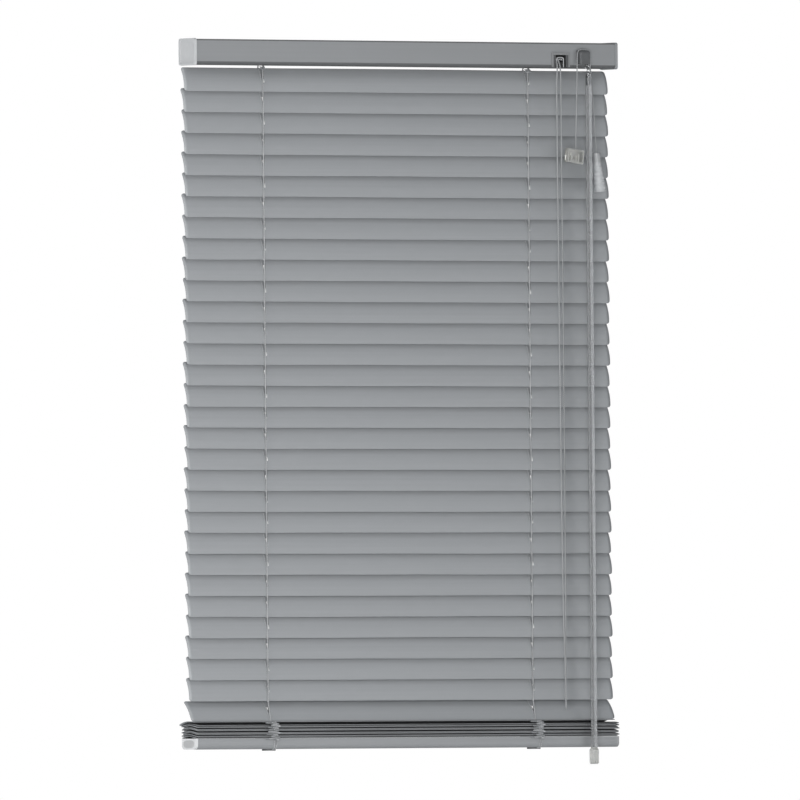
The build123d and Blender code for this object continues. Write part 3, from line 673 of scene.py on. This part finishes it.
for number in range(1, HANGING + 1):
    slip = HANGING_SLIP * math.sin(number * SLIP_RATE)
    sheet_row = (slat_axis(number), slat_tilt(number), slip, number)
    skin = slat_mesh(f"slat_skin_{number:02d}", [sheet_row], slat_paint)
    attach(skin, f"slat_{number:02d}")
    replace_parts(skin, f"slat_{number:02d}")

# The gathered slats lie in loose groups, the top ones nosed up a little at the front
GATHERED_TOP, GATHERED_SEED = -684.75, 40
GATHERED_GAPS = [1.9, 0.75, 0.8, 1.85, 0.75, 0.75, 2.1, 0.8, 0.75, 1.8, 0.8, 1.3]
GATHERED = len(GATHERED_GAPS) + 1
NOSE_TILT, NOSED = -8.0, 1.5
TOP_LIFT, TOP_SLIP = 0.45, -4.4
stack = []
drop = 0.0
for k, gap in enumerate([*GATHERED_GAPS, 0.0]):
    nose_up = NOSE_TILT * max(0.0, 1 - k / NOSED)
    slip = GATHERED_SLIP * math.sin(k * SLIP_RATE)
    stack.append((GATHERED_TOP - drop, nose_up, slip, GATHERED_SEED + k))
    drop += gap
top_z, top_tilt = stack[0][:2]
# The top gathered slat is marked all over: it takes the stack's shaded edge grey everywhere and none
# of the darker painted shade of the faces.
stack[0] = (top_z + TOP_LIFT, top_tilt, TOP_SLIP, GATHERED_SEED, True)
stack_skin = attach(slat_mesh("gathered_slats", stack, gathered_paint), "bottom_rail")
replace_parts(stack_skin, "stacked_slats")


# Ladder strings, their rungs and their gathered ends

STRING_RADIUS, RUNG_RADIUS = 0.6, 0.3
PLY_PITCH, PLY_SIDES, PLY_STEPS = 3.2, 8, 6
PLY_WAIST, PLY_BULGE = 0.8, 0.2
TIE_SWELL, TIE_HALF_LONG = 0.45, 0.8
NEAR_X, MOSTLY = 5.0, 0.9


def string_place(side):
    return LADDERS[side] - STRING_ASIDE


def resample(points, step):
    """A polyline in millimetres walked in near-equal steps."""
    walked = [Vector(points[0])]
    for a, b in zip(points, points[1:]):
        a, b = Vector(a), Vector(b)
        parts = max(1, math.ceil((b - a).length / step))
        walked += [a.lerp(b, k / parts) for k in range(1, parts + 1)]
    return walked


def tie_swell(at, ties):
    """How much thicker a string is at a place, beside the rungs tied into it."""
    away = [(at - Vector(tie)).length / TIE_HALF_LONG for tie in ties]
    return 1.0 + sum(TIE_SWELL * math.exp(-(d**2)) for d in away)


def twisted_string(work, points, radius, ties=()):
    """A two-ply string in a bmesh: its section is a rounded figure of eight that turns as it runs."""
    line = resample(points, PLY_PITCH / PLY_STEPS)
    rings = []
    for k, at in enumerate(line):
        before, after = line[max(k - 1, 0)], line[min(k + 1, len(line) - 1)]
        ahead = (after - before).normalized()
        along_x = abs(ahead.x) > MOSTLY
        across = ahead.orthogonal() if along_x else ahead.cross(Vector((1, 0, 0)))
        across.normalize()
        up = ahead.cross(across)
        swell = tie_swell(at, ties)
        ring = []
        for side in range(PLY_SIDES):
            turn = 2 * math.pi * side / PLY_SIDES
            ply = PLY_WAIST + PLY_BULGE * abs(math.cos(turn - math.pi * k / PLY_STEPS))
            out = across * math.cos(turn) + up * math.sin(turn)
            ring.append(work.verts.new((at + out * (radius * ply * swell)) * MM))
        rings.append(ring)
    for a, b in zip(rings, rings[1:]):
        for side in range(PLY_SIDES):
            other = (side + 1) % PLY_SIDES
            work.faces.new((a[side], a[other], b[other], b[side]))
    work.faces.new(list(reversed(rings[0])))
    work.faces.new(rings[-1])


def string_piece(name, runs, body, radius=STRING_RADIUS, ties=()):
    """A piece made of one or more twisted strings, on a body or, with None, on none yet."""
    work = bmesh.new()
    for points in runs:
        near = [tie for tie in ties if abs(tie[0] - points[0][0]) < NEAR_X]
        twisted_string(work, points, radius, near)
    bmesh.ops.recalc_face_normals(work, faces=work.faces)
    made = show_mesh(name, work, ladder_yarn)
    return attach(made, body) if body else made


# A string stands off the slats' edges, so that the slats pass it as they tilt
front_edge = slat_point(0, -HALF_ARC, 0, 0, CLOSED_TILT)
rear_edge = slat_point(0, HALF_ARC, 0, 0, CLOSED_TILT)
FRONT_Y, REAR_Y = front_edge.y - STRING_STAND, rear_edge.y + STRING_STAND
TRAVEL = 24.15
FRONT_HIGH, FRONT_LOW = -38.4, -664.9
REAR_HIGH, REAR_LOW = -14.2, -640.7
FRONT_TOE = (BLIND_Y - 7.4, -687.0)
DRUM_ASIDE, DRUM_Z = 5.3, 2.0


def ladder_runs(y, high, low, toe=()):
    """The two strings of one side of the ladders, top to bottom, with any places below."""
    runs = []
    for side in LADDERS:
        x = string_place(side)
        runs.append([(x, y, high), (x, y, low), *((x, *at) for at in toe)])
    return runs


def rung_ties(y, edge_z):
    """Where the rungs are tied into the strings of one side."""
    hanging = range(1, HANGING)
    return [(string_place(s), y, slat_axis(n) + edge_z) for s in LADDERS for n in hanging]


front_strings = string_piece(
    "front_strings", ladder_runs(FRONT_Y, FRONT_HIGH + TRAVEL, FRONT_LOW, [FRONT_TOE]),
    "ladder_front", ties=rung_ties(FRONT_Y, front_edge.z),
)
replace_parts(front_strings, "ladder_front")
rear_strings = string_piece(
    "rear_strings", ladder_runs(REAR_Y, REAR_HIGH + TRAVEL, REAR_LOW),
    "ladder_rear", ties=rung_ties(REAR_Y, rear_edge.z),
)
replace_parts(rear_strings, "ladder_rear")

top_runs = []
for side in LADDERS:
    x = string_place(side)
    top_runs.append([(x, BLIND_Y - DRUM_ASIDE, DRUM_Z), (x, FRONT_Y, REAR_HIGH)])
    rear_top = (x, REAR_Y - STRING_RADIUS * 2, REAR_HIGH)
    top_runs.append([(x, BLIND_Y + DRUM_ASIDE, DRUM_Z), rear_top])
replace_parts(string_piece("ladder_top_ends", top_runs, "headrail"), "ladder_tops")

RUNG_OFF, RUNG_SPREAD, RUNG_STEPS = 0.62, 0.95, 8
RUNG_REACH = HALF_ARC + STRING_STAND * 0.7


def rung_run(x, number, off):
    """A rung of a ladder, laid along a slat's skin from string to string."""
    steps = [-RUNG_REACH + 2 * RUNG_REACH * k / RUNG_STEPS for k in range(RUNG_STEPS + 1)]
    return [tuple(slat_point(x, v, off, slat_axis(number), slat_tilt(number))) for v in steps]


for number in range(1, HANGING + 1):
    runs = []
    for side in LADDERS:
        x = string_place(side)
        runs.append(rung_run(x + RUNG_SPREAD, number, -RUNG_OFF))
        runs.append(rung_run(x - RUNG_SPREAD, number, RUNG_OFF))
    string_piece(f"rungs_{number:02d}", runs, f"slat_{number:02d}", RUNG_RADIUS)


# Where the ladders leave the rail their ends are knotted

KNOT_CLEARANCE, KNOT_ASIDE, KNOT_THICK = 14.9, 4.6, 1.1
KNOT_START = 1.4
KNOT_Z, KNOT_HALF_HIGH, KNOT_HALF_DEEP = -16.4, 2.1, 0.7
# How the knot's line winds: its step from point to point, and its swings up, across and out
KNOT_STEP, RISE_RATE, RISE_START = 2.2, 0.8, 0.6
SWAY, SWAY_BACK, OUT_RATE = 0.85, 0.2, 1.7


def rail_knot(side, turns, spread, seed):
    """A loose knot of the ladder's end, just under the rail and clear of the first slat's sweep."""
    x = string_place(side)
    points = [(x, FRONT_Y, REAR_HIGH + KNOT_START), (x, FRONT_Y - KNOT_START, REAR_HIGH)]
    for k in range(turns):
        swing = k * KNOT_STEP + seed
        z = KNOT_Z - KNOT_HALF_HIGH * math.sin(swing * RISE_RATE + RISE_START)
        clear_y = BLIND_Y - math.sqrt(KNOT_CLEARANCE**2 - (z - FIRST_SLAT_Z) ** 2)
        across = x - KNOT_ASIDE + spread * (SWAY * math.sin(swing) - SWAY_BACK)
        out = KNOT_HALF_DEEP * (1 + math.cos(swing * OUT_RATE))
        points.append((across, clear_y - out, z))
    made = cord_curve(f"rail_knot_{side}", points, KNOT_THICK, shaded_yarn)
    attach(made, "headrail")


rail_knot("left", turns=11, spread=5.2, seed=0.4)
rail_knot("right", turns=13, spread=6.4, seed=1.3)


# Below the last hanging slat the strings run slack into their gathered loops

BUNCH_TOP, BUNCH_BOTTOM = -685.0, -703.5
FRONT_FOOT_Y, REAR_FOOT_Y, REAR_STILL_Z = BLIND_Y - 14.3, BLIND_Y + 13.4, -678.0
SAG_OUT, SAG_DOWN, STILL_IN = 1.6, 1.0, 0.5
SAG_LEAN, FOOT_LEAN, TUCK_LEAN, TUCK_DOWN = 0.4, 1.0, 1.4, 9.5
last_axis = slat_axis(HANGING)


def slack_tail(name, edge_along, foot_y, foot_z, still_z=None):
    """The slack strings from an edge of the last slat to the loops; below still_z they stay put."""
    reach = edge_along * (HALF_ARC + STRING_STAND) / HALF_ARC
    edge = slat_point(0, reach, 0, last_axis, LAST_TILT)
    outward = foot_y - BLIND_Y
    if still_z:
        sag = (foot_y - math.copysign(STILL_IN, outward), still_z)
    else:
        sag_y = (edge.y + foot_y) / 2 + math.copysign(SAG_OUT, outward)
        sag = (sag_y, (edge.z + foot_z) / 2 - SAG_DOWN)
    runs = []
    for side in LADDERS:
        x = string_place(side)
        foot = (x + FOOT_LEAN, foot_y, foot_z)
        tuck = (x + TUCK_LEAN, foot_y, foot_z - TUCK_DOWN)
        runs.append([(x, edge.y, edge.z), (x + SAG_LEAN, *sag), foot, tuck])
    made = string_piece(name, runs, None)
    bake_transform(made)


slack_tail("front_slack", -HALF_ARC, FRONT_FOOT_Y, BUNCH_TOP)
slack_tail("rear_slack", HALF_ARC, REAR_FOOT_Y, BUNCH_TOP, still_z=REAR_STILL_Z)

TOE_ASIDE, TOE_OVERLAP = 2.3 * STRING_RADIUS, 3.0


def rear_toes():
    """The short ends, tied beside the rear strings, that hold the last slat's rear edge."""
    edge = slat_point(0, HALF_ARC + STRING_STAND, 0, last_axis, LAST_TILT)
    runs = []
    for side in LADDERS:
        x = string_place(side) + TOE_ASIDE
        tied = [(x, REAR_Y, REAR_LOW + TOE_OVERLAP), (x, REAR_Y, REAR_LOW)]
        runs.append([*tied, (x, edge.y, edge.z)])
    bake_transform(string_piece("rear_toes", runs, None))


rear_toes()


# The gathered loops, and the ladders' ends on the bottom rail

STACK_FRONT_Y, STACK_REAR_Y = BLIND_Y - SLAT_CHORD / 2, BLIND_Y + SLAT_CHORD / 2
LOOPS = GATHERED + 3
LOOP_STAND, LOOP_START = 0.9, 0.6
DEPTH_RATE, THROW_RATE, THROW_LEAST, THROW_VARY = 2.1, 1.3, 0.7, 0.3
# A loop's three places, each as shares of its throw and depth, and a height
LOOP_OUT, LOOP_TIP, LOOP_BACK = (0.7, 0.6, 0.4), (1.0, 1.0, -0.3), (0.15, 0.4, -0.6)


def gathered_loops(name, side, edge_y, outward, depth, reach, seed, coat):
    """The ladder's slack between the gathered slats: a loop thrown out beside each one."""
    x, low, high = LADDERS[side], *reach
    points = [(x, edge_y + outward * LOOP_STAND, BUNCH_TOP + LOOP_START)]
    for k in range(LOOPS):
        z = BUNCH_TOP + (BUNCH_BOTTOM - BUNCH_TOP) * (k + 0.5) / LOOPS
        vary = 0.5 + 0.5 * math.sin(k * DEPTH_RATE + seed)
        share = THROW_LEAST + THROW_VARY * math.cos(k * THROW_RATE + seed)
        thrown = (high if k % 2 else low) * share
        for place, deep in ((LOOP_OUT, vary), (LOOP_TIP, vary), (LOOP_BACK, 1 - vary)):
            throw_share, depth_share, rise = place
            out = outward * (LOOP_STAND + depth * depth_share * deep)
            points.append((x + thrown * throw_share, edge_y + out, z + rise))
    made = cord_curve(name, points, 2 * STRING_RADIUS, coat)
    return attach(made, "bottom_rail")


FRONT_DEPTH, FRONT_SEED_STEP = 2.9, 1.7
FRONT_TURNS = (((-15.5, 2.0), shaded_yarn), ((-12.0, 4.0), ladder_yarn))
REAR_DEPTH, REAR_REACH, REAR_SEED = 0.3, (-8.0, 8.0), 0.6
bunches = []
for side in LADDERS:
    for turn, (reach, coat) in enumerate(FRONT_TURNS):
        name, seed = f"front_loops_{side}_{turn + 1}", FRONT_SEED_STEP * turn
        bunches.append(
            gathered_loops(name, side, STACK_FRONT_Y, -1, FRONT_DEPTH, reach, seed, coat)
        )
    name = f"rear_loops_{side}"
    bunches.append(
        gathered_loops(
            name, side, STACK_REAR_Y, 1, REAR_DEPTH, REAR_REACH, REAR_SEED, shaded_yarn
        )
    )
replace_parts(bunches[0], "ladder_bunches")

RAIL_FRONT_Y, RAIL_REAR_Y, RAIL_BOTTOM = -26.5, -2.5, -712.49
WRAP_STAND, WRAP_LEANS = STRING_RADIUS * 0.9, (-1.2, 1.3)
# How a wrap turns under the rail: share of its lean, way in from the wall, height over the bottom
WRAP_TURN = [
    (1.0, -WRAP_STAND, 5.0), (0.9, 0.7, 1.6), (0.8, 3.0, -WRAP_STAND * 0.3), (0.6, 6.0, -WRAP_STAND),
]


def rail_wrap(side):
    """The strings' ends over the bottom rail's front and back, tucked under its plug."""
    x = LADDERS[side]
    runs = []
    for wall, out in ((RAIL_FRONT_Y, -1), (RAIL_REAR_Y, 1)):
        for lean in WRAP_LEANS:
            run = [(x + lean, wall + out * WRAP_STAND, BUNCH_BOTTOM)]
            for share, inward, height in WRAP_TURN:
                run.append((x + lean * share, wall - out * inward, RAIL_BOTTOM + height))
            runs.append(run)
    string_piece(f"rail_wrap_{side}", runs, "bottom_rail")


for side in LADDERS:
    rail_wrap(side)


# Camera, light and floor; metres from here on

SENSOR = 36.0


def aim_camera():
    """The photograph's view: from the blind's left, just below its middle, through a long lens."""
    azimuth, elevation, roll = math.radians(-36.0), math.radians(-0.85), math.radians(0.5)
    middle = Vector((-12.4, -27.0, -355.4)) * MM
    away, view_width = 30.0, 0.8205
    level = math.cos(elevation)
    back = Vector((math.sin(azimuth) * level, -math.cos(azimuth) * level, math.sin(elevation)))
    lens = bpy.data.cameras.new("view")
    lens.sensor_width = SENSOR
    lens.lens = SENSOR * away / view_width
    lens.clip_start, lens.clip_end = 1.0, 100.0
    camera = show("view", lens)
    camera.location = middle + back * away
    camera.rotation_mode = "QUATERNION"
    turned = (-back).to_track_quat("-Z", "Y")
    camera.rotation_quaternion = turned @ Quaternion((0, 0, 1), -roll)
    bpy.context.scene.camera = camera


def soft_light(name, at, target, size, power):
    """A rectangular soft light, aimed at a target, with its power in watts."""
    panel = bpy.data.lights.new(name, "AREA")
    panel.shape = "RECTANGLE"
    panel.size, panel.size_y = size
    panel.energy = power
    lamp = show(name, panel)
    lamp.location = at
    lamp.rotation_mode = "QUATERNION"
    lamp.rotation_quaternion = (Vector(target) - Vector(at)).to_track_quat("-Z", "Y")


FLOOR_Z, FLOOR_HALF, FLOOR_CELLS = -1.25, 6.0, 8


def lay_floor():
    """A pale floor well under the hanging blind."""
    sheet = bmesh.new()
    cells = {"x_segments": FLOOR_CELLS, "y_segments": FLOOR_CELLS}
    bmesh.ops.create_grid(sheet, size=FLOOR_HALF, **cells)
    bmesh.ops.translate(sheet, verts=sheet.verts, vec=(0, 0, FLOOR_Z))
    pale = finish_material(
        "floor_paint", moulded, {"Plastic": grey(0.86), "Flow": 0.02, "Gloss": 0.6}, None
    )
    show_mesh("floor", sheet, pale, smooth=False)


def white_room():
    """A white surround to look at, which lights the blind softly, and less from below."""
    world = bpy.data.worlds.new("white_room")
    bpy.context.scene.world = world
    world.use_nodes = True
    tree = world.node_tree
    towards = put(tree, "ShaderNodeTexCoord").outputs["Generated"]
    height = put(tree, "ShaderNodeSeparateXYZ", inputs={0: towards}).outputs["Z"]
    strength = put(
        tree, "ShaderNodeMapRange",
        inputs={"Value": height, "From Min": -0.7, "From Max": 0.6, "To Min": 0.1, "To Max": 0.34},
    ).outputs[0]
    seen = put(tree, "ShaderNodeBackground", inputs={"Color": (1, 1, 1, 1), "Strength": 1.0})
    soft = {"Color": (0.92, 0.96, 1, 1), "Strength": strength}
    lit = put(tree, "ShaderNodeBackground", inputs=soft)
    path = put(tree, "ShaderNodeLightPath")
    either = put(tree, "ShaderNodeMixShader", inputs={0: path.outputs["Is Camera Ray"]})
    tree.links.new(lit.outputs[0], either.inputs[1])
    tree.links.new(seen.outputs[0], either.inputs[2])
    tree.links.new(either.outputs[0], tree.nodes["World Output"].inputs["Surface"])


aim_camera()
soft_light("front", at=(-1.75, -2.4, -0.5), target=(0, 0, -0.35), size=(1.5, 1.3), power=62)
soft_light("above", at=(-0.6, -1.6, 1.7), target=(0, 0, -0.35), size=(1.8, 1.2), power=9)
soft_light("right", at=(1.9, -2.6, -0.4), target=(0.1, 0, -0.35), size=(1.2, 1.2), power=14)
soft_light("left", at=(-2.4, -0.35, -0.2), target=(-0.2, 0, -0.35), size=(0.9, 1.6), power=22)
lay_floor()
white_room()
bpy.context.scene.view_settings.view_transform = "Standard"
